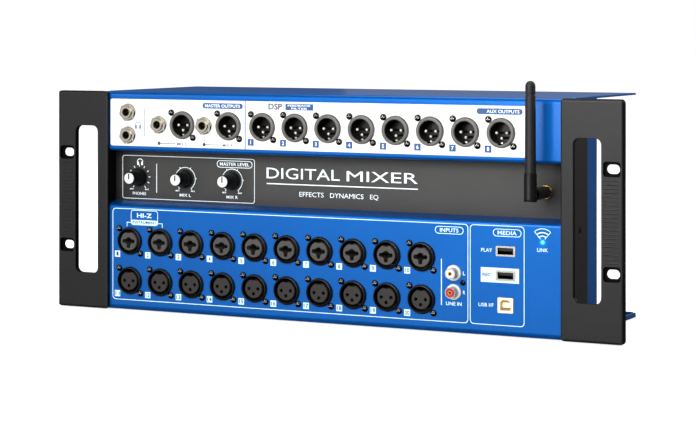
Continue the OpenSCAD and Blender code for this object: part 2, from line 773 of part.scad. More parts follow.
// Sleeve that grips the mast; its slot, open behind and below, takes the arm's tongue
module antenna_sleeve() {
    sole = 5;
    head = 15.8;
    corner = 2;
    half_w = tongue_w / 2 + run;
    room = tongue_r + 0.1;
    color("black") translate([antenna_x, hinge_y, antenna_z]) difference() {
        intersection() {
            rotate_extrude() polygon([[0, -sole], [base_r, -sole], [base_r, head - 0.6],
                [base_r - 0.3, head], [0, head]]);
            along_x(-base_r - 1, base_r + 1) polygon(concat(
                [[base_r + eps, head + 1], [-base_r - eps, head + 1]],
                arc(corner - base_r - eps, corner - sole, corner, 180, 270),
                arc(base_r + eps - corner, corner - sole, corner, 270, 360)));
        }
        block(-half_w, half_w, -room, base_r + 1, -sole - 1, room);
        rod_x(0, 0, -base_r - 1, base_r + 1, hinge_pin_r + run);
        translate([0, 0, 9]) cylinder(h = 10, r = 2.5 + hug);
    }
}

module antenna_mast() {
    tip_r = 3.75;
    start = 15.8 + hug;
    groove = whip_l - 10;
    color("black") translate([antenna_x, hinge_y, antenna_z]) rotate_extrude()
        polygon(concat([[0, 9 + hug], [2.5, 9 + hug], [2.5, start], [whip_r, start],
            [tip_r + 0.05, groove - 1], [tip_r - 0.3, groove - 0.6], [tip_r - 0.3, groove + 0.6],
            [tip_r, groove + 1]],
            [for (a = [0 : 15 : 75]) [tip_r * cos(a), whip_l - tip_r + tip_r * sin(a)]],
            [[0, whip_l]]));
}

// Thin cable from the antenna socket, round to the wireless module
module antenna_cable() {
    y0 = channel_depth + 9 + hug;
    y1 = module_y - 2.2 - cable_bend;
    color("gray") translate([antenna_x, 0, antenna_z]) {
        rod_y(0, 0, y0, y1, cable_r);
        translate([-cable_bend, y1, 0]) rotate_extrude(angle = 90)
            translate([cable_bend, 0]) circle(cable_r);
        rod_x(y1 + cable_bend, 0, -cable_bend - 12, -cable_bend, cable_r);
    }
}

// Small radio board with a shield can and the cable's socket
module wifi_module() {
    x1 = antenna_x - cable_bend - 12 - hug;
    color("darkgreen") union() {
        block(x1 - 42, x1 + 4, module_y, module_y + board_t, 2, 36);
        block(x1 - 5, x1, module_y - 4.4, module_y + eps, antenna_z - 2.5, antenna_z + 2.5);
        block(x1 - 36, x1 - 10, module_y - 3, module_y + eps, 8, 30);
    }
}

// ---------- inside ----------

module connector_board(z0, z1, x0, x1) {
    difference() {
        block(x0, x1, board_y + hug, board_y + board_t, z0, z1);
        for (x = [x0 + 5, (x0 + x1) / 2, x1 - 5]) rod_y(x, z1 - 4, board_y - 1, board_y + 4, 1.6);
    }
    for (x = [x0 + 30 : 38 : x1 - 20])
        block(x, x + 12, board_y + board_t, board_y + board_t + 3, z0 + 8, z0 + 20);
}

module output_board() { color("darkgreen") connector_board(46, 84, -190, 158); }

module input_board() { color("darkgreen") connector_board(-80, -8, -190, 166); }

module control_board() {
    y = channel_depth + sheet + 11 + hug;
    color("darkgreen") union() {
        block(-190, -66, y, y + board_t, 0, 38);
        for (x = knob_x) block(x + 10, x + 18, y + board_t - eps, y + 4, 8, 16);
    }
}

module main_board() {
    z = mixer_board_z;
    color("darkgreen") union() {
        difference() {
            block(-150, 60, 44, 146, z, z + board_t);
            for (x = [-140, 0]) for (y = floor_screw_y)
                translate([x, y, z - 1]) cylinder(h = 4, r = 1.7);
        }
        block(-120, -92, 70, 98, z + board_t - eps, z + 5);
        block(-40, -22, 60, 78, z + board_t - eps, z + 4);
        for (i = [0 : 5]) translate([10 + 7 * i, 132, z + board_t - eps]) cylinder(h = 9, r = 2.6);
    }
}

module standoffs() {
    color("goldenrod") for (x = [-140, 0]) for (y = floor_screw_y)
        translate([x, y, -half_h + sheet]) difference() {
            cylinder(h = mixer_board_z + half_h - sheet - hug, r = 3.4, $fn = 6);
            translate([0, 0, -1]) cylinder(h = 20, r = 1.5);
        }
}

module heat_sink() {
    z = mixer_board_z + 5 + hug;
    color("silver") union() {
        block(-123, -89, 67, 101, z, z + 3);
        for (k = [0 : 7]) block(-123 + k * 4.6, -121.4 + k * 4.6, 67, 101, z + 2, z + 16);
    }
}

module power_supply() {
    z = -half_h + sheet + hug;
    color("silver") difference() {
        block(72, 152, 42, 140, z, z + 42);
        block(73.2, 150.8, 43.2, 138.8, z + 1.2, z + 40.8);
        for (k = [0 : 8]) block(80 + 8 * k, 83 + 8 * k, 66, 118, z + 40, z + 44);
        for (y = floor_screw_y) translate([140, y, z - 1]) cylinder(h = 4, r = 1.6);
    }
}

// ---------- side bays ----------

module power_inlet() {
    x = inner_wall_x + sheet;
    y = inlet_y;
    z = inlet_z;
    color("black") difference() {
        union() {
            block(x + hug, x + 3, y - 25, y + 25, z - 12, z + 12);
            block(x - 22, x + 1, y - 13.6, y + 13.6, z - 10.2, z + 10.2);
        }
        block(x - 14, x + 5, y - 12.2, y + 12.2, z - 8.2, z + 8.2);
        for (side = [-20, 20]) rod_x(y + side, z, x - 1, x + 5, 1.7);
    }
    color("silver") for (place = [[-7, -2], [7, -2], [0, 2]])
        block(x - 14 - eps, x, y + place[0] - 1, y + place[0] + 1,
            z + place[1] - 2.5, z + place[1] + 2.5);
}

module switch_frame() {
    x = inner_wall_x + sheet;
    color("black") difference() {
        union() {
            block(x + hug, x + 2, switch_y - 11, switch_y + 11, switch_z - 8, switch_z + 8);
            block(x - 14, x + 1, switch_y - 9.4, switch_y + 9.4, switch_z - 6.4, switch_z + 6.4);
        }
        block(x - 10, x + 3, switch_y - 8.4, switch_y + 8.4, switch_z - 5.4, switch_z + 5.4);
        translate([x - 2, switch_y, switch_z]) cylinder(h = 12.6, r = 1 + run, center = true);
    }
}

// Rocker on two trunnions, with a shallow V face so that one end stands proud
module power_rocker() {
    tilt = 11;
    x = inner_wall_x + sheet - 2;
    color("black") translate([x, switch_y, switch_z]) rotate([0, 0, -tilt]) union() {
        cylinder(h = 12, r = 1, center = true);
        translate([0, 0, -5]) linear_extrude(10) polygon([[-2.4, -5], [-2.4, 5], [1.4, 7.6],
            [4.2, 7.2], [2.2, 0], [4.2, -7.2], [1.4, -7.6]]);
    }
}

// Network, display and foot-switch sockets of the left bay
module side_sockets() {
    x = -inner_wall_x - sheet;
    color("silver") difference() {
        block(x - 0.6, x + 20, 94.2, 110.2, 8.2, 21.6);
        block(x - 2, x + 14, 96.2, 108.2, 10.2, 18.6);
    }
    color("silver") difference() {
        block(x - 0.6, x + 12, 124.2, 139.2, 12.2, 17.8);
        block(x - 2, x + 10, 124.9, 138.5, 12.9, 17.1);
    }
    color("black") for (y = [101, 131]) difference() {
        union() {
            rod_x(y, -22, x - 3, x + 8, 4.7);
            block(x + sheet + hug, x + 30, y - 7.4, y + 7.4, -29.4, -14.6);
        }
        rod_x(y, -22, x - 4, x + 28, jack_bore_r);
    }
}

from_front() output_panel();
from_front() input_panel();
from_front() control_panel();
from_front() channel_cheeks();
from_front() top_cover();
from_front() bottom_cover();
from_front() rear_panel();
from_front() side_wall_left();
from_front() side_wall_right();
from_front() rack_ear_left();
from_front() rack_ear_right();
from_front() ear_screws();
from_front() cover_screws();
from_front() output_label_plate();
from_front() output_xlr_shells();
from_front() output_xlr_inserts();
from_front() output_xlr_pins();
from_front() output_screws();
from_front() jack_bodies();
from_front() jack_nuts();
from_front() combo_shells();
from_front() combo_inserts();
from_front() input_xlr_shells();
from_front() input_xlr_inserts();
from_front() input_screws();
from_front() rca_shells();
from_front() rca_collars();
from_front() usb_a_shells();
from_front() usb_b_shell();
from_front() usb_tongues();
from_front() status_light();
from_front() pot_bodies();
from_front() pot_nuts();
from_front() phones_shaft();
from_front() phones_knob();
from_front() phones_cap();
from_front() mix_left_shaft();
from_front() mix_left_knob();
from_front() mix_left_cap();
from_front() mix_right_shaft();
from_front() mix_right_knob();
from_front() mix_right_cap();
from_front() antenna_socket();
from_front() antenna_base();
from_front() antenna_hinge_pin();
from_front() antenna_sleeve();
from_front() antenna_mast();
from_front() antenna_cable();
from_front() wifi_module();
from_front() input_board();
from_front() output_board();
from_front() control_board();
from_front() main_board();
from_front() standoffs();
from_front() heat_sink();
from_front() power_supply();
from_front() power_inlet();
from_front() switch_frame();
from_front() power_rocker();
from_front() side_sockets();
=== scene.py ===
import math

import bmesh
import bpy
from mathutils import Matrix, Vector


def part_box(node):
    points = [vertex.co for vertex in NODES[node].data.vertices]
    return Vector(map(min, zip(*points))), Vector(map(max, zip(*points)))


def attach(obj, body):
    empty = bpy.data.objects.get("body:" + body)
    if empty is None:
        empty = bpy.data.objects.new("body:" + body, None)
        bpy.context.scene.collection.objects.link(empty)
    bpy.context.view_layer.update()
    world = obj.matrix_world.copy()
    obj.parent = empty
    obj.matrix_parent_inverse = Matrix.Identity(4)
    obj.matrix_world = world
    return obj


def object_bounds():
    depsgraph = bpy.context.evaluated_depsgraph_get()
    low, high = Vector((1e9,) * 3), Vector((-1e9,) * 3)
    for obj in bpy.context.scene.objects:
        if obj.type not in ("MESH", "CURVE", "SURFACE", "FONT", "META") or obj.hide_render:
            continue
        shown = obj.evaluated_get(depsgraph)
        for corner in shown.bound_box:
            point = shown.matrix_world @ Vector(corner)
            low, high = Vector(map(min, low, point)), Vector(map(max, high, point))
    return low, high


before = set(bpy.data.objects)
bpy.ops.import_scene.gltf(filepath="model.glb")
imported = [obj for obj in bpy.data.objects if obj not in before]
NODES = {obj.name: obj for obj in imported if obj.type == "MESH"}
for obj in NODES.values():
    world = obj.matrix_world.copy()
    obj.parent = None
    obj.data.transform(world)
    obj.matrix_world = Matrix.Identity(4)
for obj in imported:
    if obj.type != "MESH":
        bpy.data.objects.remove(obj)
cad_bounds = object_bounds()

MM = 0.001
X, Y, Z = 0, 1, 2
CASE = "case"


# ---------- places in millimetres, read from the frame ----------

def box_mm(node):
    """Lowest and highest corner of a CAD node, in millimetres."""
    low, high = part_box(node)
    return low / MM, high / MM


def clusters(values, gap):
    """Middles of the groups that values form where neighbours lie more than gap apart."""
    values = sorted(values)
    starts = [i for i in range(len(values)) if i == 0 or values[i] - values[i - 1] > gap]
    ends = starts[1:] + [len(values)]
    return [(values[a] + values[b - 1]) / 2 for a, b in zip(starts, ends)]


def groups(node, axis, gap=4):
    """Middles of the separate groups that a node's vertices form along one axis, in millimetres."""
    return clusters([vertex.co[axis] / MM for vertex in NODES[node].data.vertices], gap)


def middle(node):
    """Middle of a CAD node's box, in millimetres."""
    low, high = box_mm(node)
    return (low + high) / 2


OUTPUT_X = groups("output_xlr_inserts", X)
OUTPUT_Z = middle("output_xlr_inserts").z
INPUT_X = groups("input_xlr_inserts", X)
COMBO_Z = middle("combo_inserts").z
SOCKET_Z = middle("input_xlr_inserts").z
KNOBS = ["phones", "mix_left", "mix_right"]
KNOB_X = [middle(f"{name}_knob").x for name in KNOBS]
KNOB_Z = middle("phones_knob").z
LIGHT = middle("status_light")
PLATE_LOW, PLATE_HIGH = box_mm("output_label_plate")
LOWER_LOW, LOWER_HIGH = box_mm("input_panel")
FACE_Y = LOWER_LOW.y
CHANNEL_FACE_Y = box_mm("control_panel")[0].y
RCA_X = middle("rca_shells").x
RCA_Z = groups("rca_shells", Z, gap=1)
USB_X = middle("usb_a_shells").x
USB_Z = groups("usb_a_shells", Z, gap=6)
USB_B_Z = middle("usb_b_shell").z

# The pins of an XLR stand on a circle of this radius, at these angles.
PIN_RADIUS = 4
PIN_ANGLES = [0, 180, 270]

# The angles between which a knob's scale is drawn.
DIAL_START, DIAL_END = -55, 235


# ---------- materials ----------

# How large the patterns of the finishes are.
CLOUD_MM = 26
WEAR_AND_HIGHLIGHT_PATCH_MM = 3
WEAR_AND_HIGHLIGHT_EDGE_MM = 0.5
THREAD_PITCH_MM = 2.3

# How far from the status light its halo starts to fade, and where it ends.
HALO_START_MM, HALO_END_MM = 1.2, 4.8


def srgb(red, green, blue):
    """A linear colour from display values of 0 to 255."""
    def linear(value):
        share = value / 255
        return share / 12.92 if share <= 0.04045 else ((share + 0.055) / 1.055) ** 2.4
    return (linear(red), linear(green), linear(blue), 1)


def shaded(colour, share):
    """The colour made darker, or lighter when share is above 1."""
    return tuple(channel * share for channel in colour[:3]) + (1,)


class Graph:
    """A material's nodes, with short calls that add and join them."""

    def __init__(self, name):
        self.material = bpy.data.materials.new(name)
        self.material.use_nodes = True
        self.tree = self.material.node_tree
        self.shader = self.tree.nodes["Principled BSDF"]
        self.place = self.tree.nodes.new("ShaderNodeTexCoord").outputs["Object"]

    def feed(self, socket, value):
        if isinstance(value, bpy.types.NodeSocket):
            self.tree.links.new(value, socket)
        else:
            socket.default_value = value

    def node(self, kind, inputs, **settings):
        made = self.tree.nodes.new(kind)
        for name, value in settings.items():
            setattr(made, name, value)
        for name, value in inputs.items():
            self.feed(made.inputs[name], value)
        return made

    def math(self, operation, first, second=0.0):
        return self.node("ShaderNodeMath", {0: first, 1: second}, operation=operation).outputs[0]

    def noise(self, size_mm, detail=2.0, stretch=(1, 1, 1)):
        """Noise whose blotches are about size_mm across, drawn out by stretch."""
        scale = [1 / (size_mm * MM * along) for along in stretch]
        place = self.node("ShaderNodeMapping", {"Vector": self.place, "Scale": scale}).outputs[0]
        return self.node("ShaderNodeTexNoise", {"Vector": place, "Scale": 1.0, "Detail": detail}).outputs[0]

    def cells(self, size_mm):
        inputs = {"Vector": self.place, "Scale": 1 / (size_mm * MM)}
        return self.node("ShaderNodeTexVoronoi", inputs).outputs["Distance"]

    def spread(self, value, low, high, to_low, to_high):
        """value's range from low to high, carried over to a new range and held there."""
        inputs = {0: value, 1: low, 2: high, 3: to_low, 4: to_high}
        return self.node("ShaderNodeMapRange", inputs).outputs[0]

    def mix(self, share, first, second):
        inputs = {0: share, 6: first, 7: second}
        return self.node("ShaderNodeMix", inputs, data_type="RGBA").outputs[2]

    def along(self, axis, low_mm, high_mm):
        """0 at low_mm and 1 at high_mm along an axis of the object's own frame, held beyond both."""
        parts = self.node("ShaderNodeSeparateXYZ", {"Vector": self.place}).outputs
        return self.spread(parts[axis], low_mm * MM, high_mm * MM, 0.0, 1.0)

    def edges(self, width_mm):
        """1 along the shape's edges and 0 on its flats."""
        rounded = self.node("ShaderNodeBevel", {"Radius": width_mm * MM}, samples=4).outputs[0]
        flat = self.tree.nodes.new("ShaderNodeNewGeometry").outputs["Normal"]
        agree = self.node("ShaderNodeVectorMath", {0: rounded, 1: flat}, operation="DOT_PRODUCT")
        return self.spread(agree.outputs["Value"], 0.7, 0.99, 1.0, 0.0)

    def bump(self, height, depth_mm, under=None):
        inputs = {"Height": height, "Distance": depth_mm * MM, "Strength": 1.0}
        if under is not None:
            inputs["Normal"] = under
        return self.node("ShaderNodeBump", inputs).outputs[0]

    def set(self, **inputs):
        for name, value in inputs.items():
            self.feed(self.shader.inputs[name.replace("_", " ")], value)

    def got(self, name):
        """What feeds one of the shader's inputs: the joined socket, or else the plain value."""
        socket = self.shader.inputs[name]
        return socket.links[0].from_socket if socket.links else socket.default_value

    def over(self, share, colour, metallic, rough):
        """Lays a second finish over the first where share is 1."""
        self.set(Base_Color=self.mix(share, self.got("Base Color"), colour),
                 Metallic=self.spread(share, 0.0, 1.0, self.got("Metallic"), metallic),
                 Roughness=self.spread(share, 0.0, 1.0, self.got("Roughness"), rough))


def surface(name, colour, rough, grain_mm, depth_mm, shade=0.12, wear_and_highlight=None, wear_and_highlight_share=0.5, stretch=(1, 1, 1)):
    """A finish with cloudy colour, grain in its gloss and relief, and paler edges: rubbed by use, and on
    the powder coats also a painted highlight.

    shade says how far the colour wanders, and the share after the edge colour says how much of the edges
    shows that colour.
    """
    graph = Graph(name)
    clouds = graph.noise(CLOUD_MM, 3.0)
    grain = graph.noise(grain_mm, 3.0, stretch)
    base = graph.mix(graph.spread(clouds, 0.35, 0.65, 0.0, 1.0),
                     shaded(colour, 1 - shade), shaded(colour, 1 + shade))
    base = graph.mix(graph.spread(grain, 0.4, 0.6, 0.0, 1.0), base, shaded(colour, 1 + shade / 2))
    gloss = graph.spread(graph.noise(grain_mm * 4, 2.0), 0.3, 0.7, rough - 0.05, rough + 0.06)
    # Paler edges, rubbed by use and, on the powder coats, a painted highlight along the edges.
    if wear_and_highlight is not None:
        patches = graph.spread(graph.noise(WEAR_AND_HIGHLIGHT_PATCH_MM, 4.0), 0.45, 0.6, 0.25, wear_and_highlight_share)
        wear_and_highlight_edges = graph.math("MULTIPLY", graph.edges(WEAR_AND_HIGHLIGHT_EDGE_MM), patches)
        base = graph.mix(wear_and_highlight_edges, base, wear_and_highlight)
    graph.set(Base_Color=base, Roughness=gloss, Normal=graph.bump(grain, depth_mm))
    return graph


def blue_paint(name, glow=False):
    """Deep metallic blue under a clear coat; glow adds the status light's halo to it."""
    graph = surface(name, srgb(0, 97, 184), 0.42, 0.55, 0.006, 0.05, srgb(60, 140, 215), 0.45)
    graph.set(Metallic=0.66, Specular_IOR_Level=0.2, Coat_Weight=0.3, Coat_Roughness=0.14)
    if glow:
        light = Vector((LIGHT.x, FACE_Y, LIGHT.z)) * MM
        inputs = {0: graph.place, 1: light}
        away = graph.node("ShaderNodeVectorMath", inputs, operation="DISTANCE").outputs["Value"]
        near = graph.spread(away, HALO_START_MM * MM, HALO_END_MM * MM, 1.0, 0.0)
        halo = graph.math("MULTIPLY", graph.math("POWER", near, 2.2), 0.7)
        graph.set(Emission_Color=srgb(20, 170, 255), Emission_Strength=halo)
    return graph.material


def shade_corners(graph, reach_mm, dark):
    """Paints shade into the finish's colour where other faces stand close by."""
    near = graph.node("ShaderNodeAmbientOcclusion", {"Distance": reach_mm * MM}, samples=6)
    share = graph.spread(near.outputs["AO"], 0.35, 0.95, dark, 0.0)
    graph.set(Base_Color=graph.mix(share, graph.got("Base Color"), srgb(4, 4, 4)))


def powder_coat(name, colour, rough):
    """Coat whose fine orange-peel cells lie over its grain."""
    # Its edge colour, 2.4 times as bright as the coat, is partly a painted highlight along the edges.
    graph = surface(name, colour, rough, 0.35, 0.02, 0.1, shaded(colour, 2.4), 0.5)
    graph.set(Normal=graph.bump(graph.cells(0.6), 0.012, graph.got("Normal")))
    return graph


def ear_coat(name):
    """Textured black, with painted shade between an ear's front and rear faces: in its slots and recesses.
    """
    graph = powder_coat(name, srgb(23, 23, 22), 0.4)
    front = box_mm("rack_ear_left")[0].y
    past_front = graph.along(Y, front + 0.3, front + 1.2)
    before_rear = graph.along(Y, -0.4, -1.2)
    inside = graph.math("MULTIPLY", past_front, before_rear)
    # Painted shade: near black and almost no gloss between the front and rear faces.
    graph.over(inside, srgb(5, 5, 6), 0.0, 0.5)
    graph.set(Specular_IOR_Level=graph.spread(inside, 0.0, 1.0, 0.4, 0.06))
    return graph.material


def channel_coat(name):
    """Charcoal coat with painted shade that darkens it towards the channel's walls."""
    graph = powder_coat(name, srgb(62, 61, 59), 0.5)
    shade_corners(graph, 30, 0.9)
    return graph.material


def label_white(name):
    return surface(name, srgb(246, 246, 244), 0.42, 0.5, 0.003, 0.015).material


def ink(name, colour, glow=0.0):
    """Screen-printed ink; a little glow keeps thin pale strokes bright."""
    graph = surface(name, colour, 0.4, 0.4, 0.004, 0.03)
    graph.set(Emission_Color=colour, Emission_Strength=glow)
    return graph.material


def moulded(name, colour, rough):
    """Moulded plastic, still open to a second finish."""
    return surface(name, colour, rough, 0.3, 0.008, 0.12, shaded(colour, 1.7), 0.4)


def plastic(name, colour, rough):
    return moulded(name, colour, rough).material


def metal(name, colour, rough, stretch=(1, 1, 1)):
    graph = surface(name, colour, rough, 0.3, 0.004, 0.1, stretch=stretch)
    graph.set(Metallic=1.0)
    return graph.material


def die_cast(name):
    """Grey casting whose cup is painted black behind its rim: painted shade inside the cup."""
    graph = surface(name, srgb(104, 102, 99), 0.38, 0.4, 0.01, 0.12, srgb(190, 188, 182), 0.6)
    graph.set(Metallic=0.3)
    graph.over(graph.along(Y, FACE_Y - 1.8, FACE_Y - 0.8), srgb(7, 6, 6), 0.0, 0.5)
    return graph.material


def jack_plastic(name):
    """Black plastic behind a nickel bushing."""
    graph = moulded(name, srgb(14, 14, 14), 0.5)
    graph.over(graph.along(Y, FACE_Y - 3.3, FACE_Y - 3.6), srgb(196, 188, 172), 1.0, 0.2)
    return graph.material


def pin_metal(name):
    """Bright tips on pins whose shanks are painted dark: painted shade of the cup."""
    tip = box_mm("output_xlr_pins")[0].y
    graph = surface(name, srgb(244, 240, 230), 0.36, 0.3, 0.004, 0.05)
    graph.set(Metallic=0.45)
    graph.over(graph.along(Y, tip + 0.5, tip + 1.6), srgb(40, 34, 28), 0.5, 0.45)
    return graph.material


def port_metal(name):
    """Bright plated rim, with painted shade in its corners and painted black inside the port for its shade.
    """
    graph = surface(name, srgb(206, 200, 190), 0.22, 0.3, 0.004, 0.1)
    shade_corners(graph, 1.4, 0.9)
    graph.set(Metallic=0.9)
    graph.over(graph.along(Y, FACE_Y - 0.3, FACE_Y + 0.1), srgb(6, 6, 6), 0.0, 0.5)
    return graph.material


def port_plastic(name):
    """Cream housing whose inside is lined with brassy contacts."""
    graph = moulded(name, srgb(240, 234, 218), 0.4)
    graph.over(graph.along(Y, FACE_Y + 0.1, FACE_Y + 1.5), srgb(224, 208, 158), 0.1, 0.4)
    return graph.material


def threaded_nickel(name):
    """Nickel barrel with dark rings painted around it: painted shade in the grooves of its thread."""
    graph = surface(name, srgb(222, 218, 210), 0.2, 0.3, 0.004, 0.06)
    graph.set(Metallic=1.0)
    parts = graph.node("ShaderNodeSeparateXYZ", {"Vector": graph.place}).outputs
    turns = graph.math("SINE", graph.math("MULTIPLY", parts[Y], 2 * math.pi / (THREAD_PITCH_MM * MM)))
    behind = graph.along(Y, FACE_Y - 6.9, FACE_Y - 6.4)
    rings = graph.math("MULTIPLY", graph.spread(turns, -0.5, 0.0, 0.0, 1.0), behind)
    graph.over(rings, srgb(16, 16, 16), 0.6, 0.4)
    return graph.material


def tongue_plastic(name):
    """Cream in the square port at the bottom, black in the two wide ones above it."""
    graph = moulded(name, srgb(255, 244, 214), 0.4)
    split = USB_B_Z + 6
    # Painted glow: the cream tongue gives off a faint light of its own.
    glow = graph.math("MULTIPLY", graph.along(Z, split, split - 1), 0.4)
    graph.set(Emission_Color=srgb(255, 236, 190), Emission_Strength=glow)
    graph.over(graph.along(Z, split, split + 1), srgb(12, 12, 12), 0.0, 0.4)
    return graph.material


def dull(material, level):
    """Takes some of the gloss off a finish."""
    material.node_tree.nodes["Principled BSDF"].inputs["Specular IOR Level"].default_value = level
    return material


def nut_nickel(name):
    """Nickel with painted shade where it meets its neighbours."""
    graph = surface(name, srgb(198, 192, 180), 0.16, 0.3, 0.004, 0.1)
    shade_corners(graph, 3.5, 0.95)
    graph.set(Metallic=1.0)
    return graph.material


def rubber(name):
    return surface(name, srgb(24, 24, 26), 0.55, 0.25, 0.01, 0.2).material


def lit_lens(name):
    """Clear lens lit from behind."""
    graph = Graph(name)
    core = graph.noise(0.8, 2.0)
    colour = graph.mix(core, srgb(40, 176, 255), srgb(96, 210, 255))
    graph.set(Base_Color=colour, Roughness=0.2, Emission_Color=colour, Emission_Strength=1.3)
    return graph.material


def circuit_board(name):
    """Green board with paler tracks."""
    graph = surface(name, srgb(16, 84, 48), 0.38, 0.6, 0.01, 0.2)
    tracks = graph.spread(graph.cells(2.4), 0.42, 0.46, 0.0, 1.0)
    graph.set(Base_Color=graph.mix(tracks, graph.got("Base Color"), srgb(60, 130, 70)))
    return graph.material


# The finish of each material that the frame names.
SLOTS = {
    "blue_paint": blue_paint("blue_paint_look"),
    "black_powder_coat": ear_coat("powder_coat_look"),
    "black_screw": metal("black_screw_look", srgb(38, 38, 40), 0.16),
    "white_label": label_white("label_look"),
    "grey_die_cast": die_cast("die_cast_look"),
    "black_plastic": plastic("black_plastic_look", srgb(12, 12, 13), 0.32),
    "dark_grey_plastic": plastic("grey_plastic_look", srgb(39, 35, 32), 0.42),
    "silver_contact": metal("silver_look", srgb(228, 226, 220), 0.3),
    "nickel": metal("nickel_look", srgb(206, 200, 190), 0.24),
    "gold_plate": metal("gold_look", srgb(226, 182, 96), 0.26),
    "white_plastic": plastic("white_plastic_look", srgb(238, 236, 228), 0.36),
    "blue_light": lit_lens("light_look"),
    "zinc_steel": metal("zinc_look", srgb(176, 178, 182), 0.36, (6, 1, 1)),
    "black_rubber": rubber("rubber_look"),
    "circuit_board": circuit_board("board_look"),
    "aluminium_fins": metal("fins_look", srgb(190, 192, 196), 0.34, (1, 8, 1)),
}
SLOT_OF = {name: NODES[name].data.materials[0].name for name in NODES}

# Finishes of single pieces and of the printing.
LIT_PANEL = blue_paint("blue_paint_lit_look", glow=True)
WHITE_INK = ink("white_ink_look", srgb(240, 250, 252), 0.16)
BLUE_INK = ink("blue_ink_look", srgb(18, 92, 176))
SKY_INK = ink("sky_ink_look", srgb(212, 245, 255), 0.16)
STEEL_INK = ink("steel_ink_look", srgb(36, 84, 148))
LINE_INK = ink("line_ink_look", srgb(52, 64, 88))
PALE_INK = ink("pale_ink_look", srgb(112, 124, 142))
BLACK_INK = ink("black_ink_look", srgb(16, 16, 18))
CHANNEL_COAT = channel_coat("channel_coat_look")
DARK_COAT = dull(powder_coat("dark_coat_look", srgb(5, 5, 5), 0.6).material, 0.1)
DARK_BRASS = metal("dark_brass_look", srgb(150, 128, 84), 0.3)
KNOB_PLASTIC = dull(plastic("knob_look", srgb(8, 8, 8), 0.46), 0.25)
RED_PLASTIC = plastic("red_plastic_look", srgb(196, 18, 30), 0.34)


# ---------- CAD pieces ----------

# Width of the rounded edge in millimetres.
SOFT_EDGES = {
    "rack_ear_left": 0.5, "rack_ear_right": 0.5, "output_panel": 0.25, "input_panel": 0.25,
    "top_cover": 0.25, "bottom_cover": 0.25, "output_label_plate": 0.08,
}


def soften(node, width_mm):
    """Gives a CAD piece's sharp edges a small round that catches the light."""
    piece = NODES[node]
    weld = piece.modifiers.new("join_corners", "WELD")
    weld.merge_threshold = 0.001 * MM
    flats = piece.modifiers.new("join_flats", "DECIMATE")
    flats.decimate_type = "DISSOLVE"
    flats.angle_limit = math.radians(0.4)
    rounds = piece.modifiers.new("round_edges", "BEVEL")
    rounds.width = width_mm * MM
    rounds.segments = 2
    rounds.limit_method = "ANGLE"
    rounds.angle_limit = math.radians(40)
    rounds.harden_normals = True


def dress_cad():
    """Gives each CAD node its finish: its material's own, or one made for that node."""
    for name, piece in NODES.items():
        piece.data.materials[0] = SLOTS[SLOT_OF[name]]
    NODES["input_panel"].data.materials[0] = LIT_PANEL
    NODES["control_panel"].data.materials[0] = CHANNEL_COAT
    NODES["channel_cheeks"].data.materials[0] = DARK_COAT
    NODES["jack_bodies"].data.materials[0] = jack_plastic("jack_look")
    for name in KNOBS:
        NODES[f"{name}_knob"].data.materials[0] = KNOB_PLASTIC
    NODES["combo_inserts"].data.materials[0] = plastic("combo_look", srgb(70, 67, 65), 0.34)
    NODES["output_xlr_pins"].data.materials[0] = pin_metal("pin_look")
    NODES["rca_shells"].data.materials[0] = threaded_nickel("rca_look")
    NODES["jack_nuts"].data.materials[0] = nut_nickel("nut_look")
    NODES["usb_a_shells"].data.materials[0] = port_metal("port_metal_look")
    NODES["usb_b_shell"].data.materials[0] = port_plastic("port_plastic_look")
    NODES["usb_tongues"].data.materials[0] = tongue_plastic("tongue_look")
    for name, width in SOFT_EDGES.items():
        soften(name, width)


# ---------- flat graphics ----------

# How far ink stands out of a face and reaches into it.
INK_MM = 0.05
SINK_MM = 0.01


def arc_points(x, z, radius, start, end, count):
    """Points on a circle about (x, z); angles run from +X towards +Z."""
    angles = [math.radians(start + (end - start) * i / (count - 1)) for i in range(count)]
    return [(x + radius * math.cos(a), z + radius * math.sin(a)) for a in angles]


def round_box(x0, x1, z0, z1, radius):
    """A rectangle's outline with rounded corners."""
    count = 6
    corners = [(x1 - radius, z1 - radius, 0), (x0 + radius, z1 - radius, 90),
               (x0 + radius, z0 + radius, 180), (x1 - radius, z0 + radius, 270)]
    return [p for x, z, a in corners for p in arc_points(x, z, radius, a, a + 90, count)]


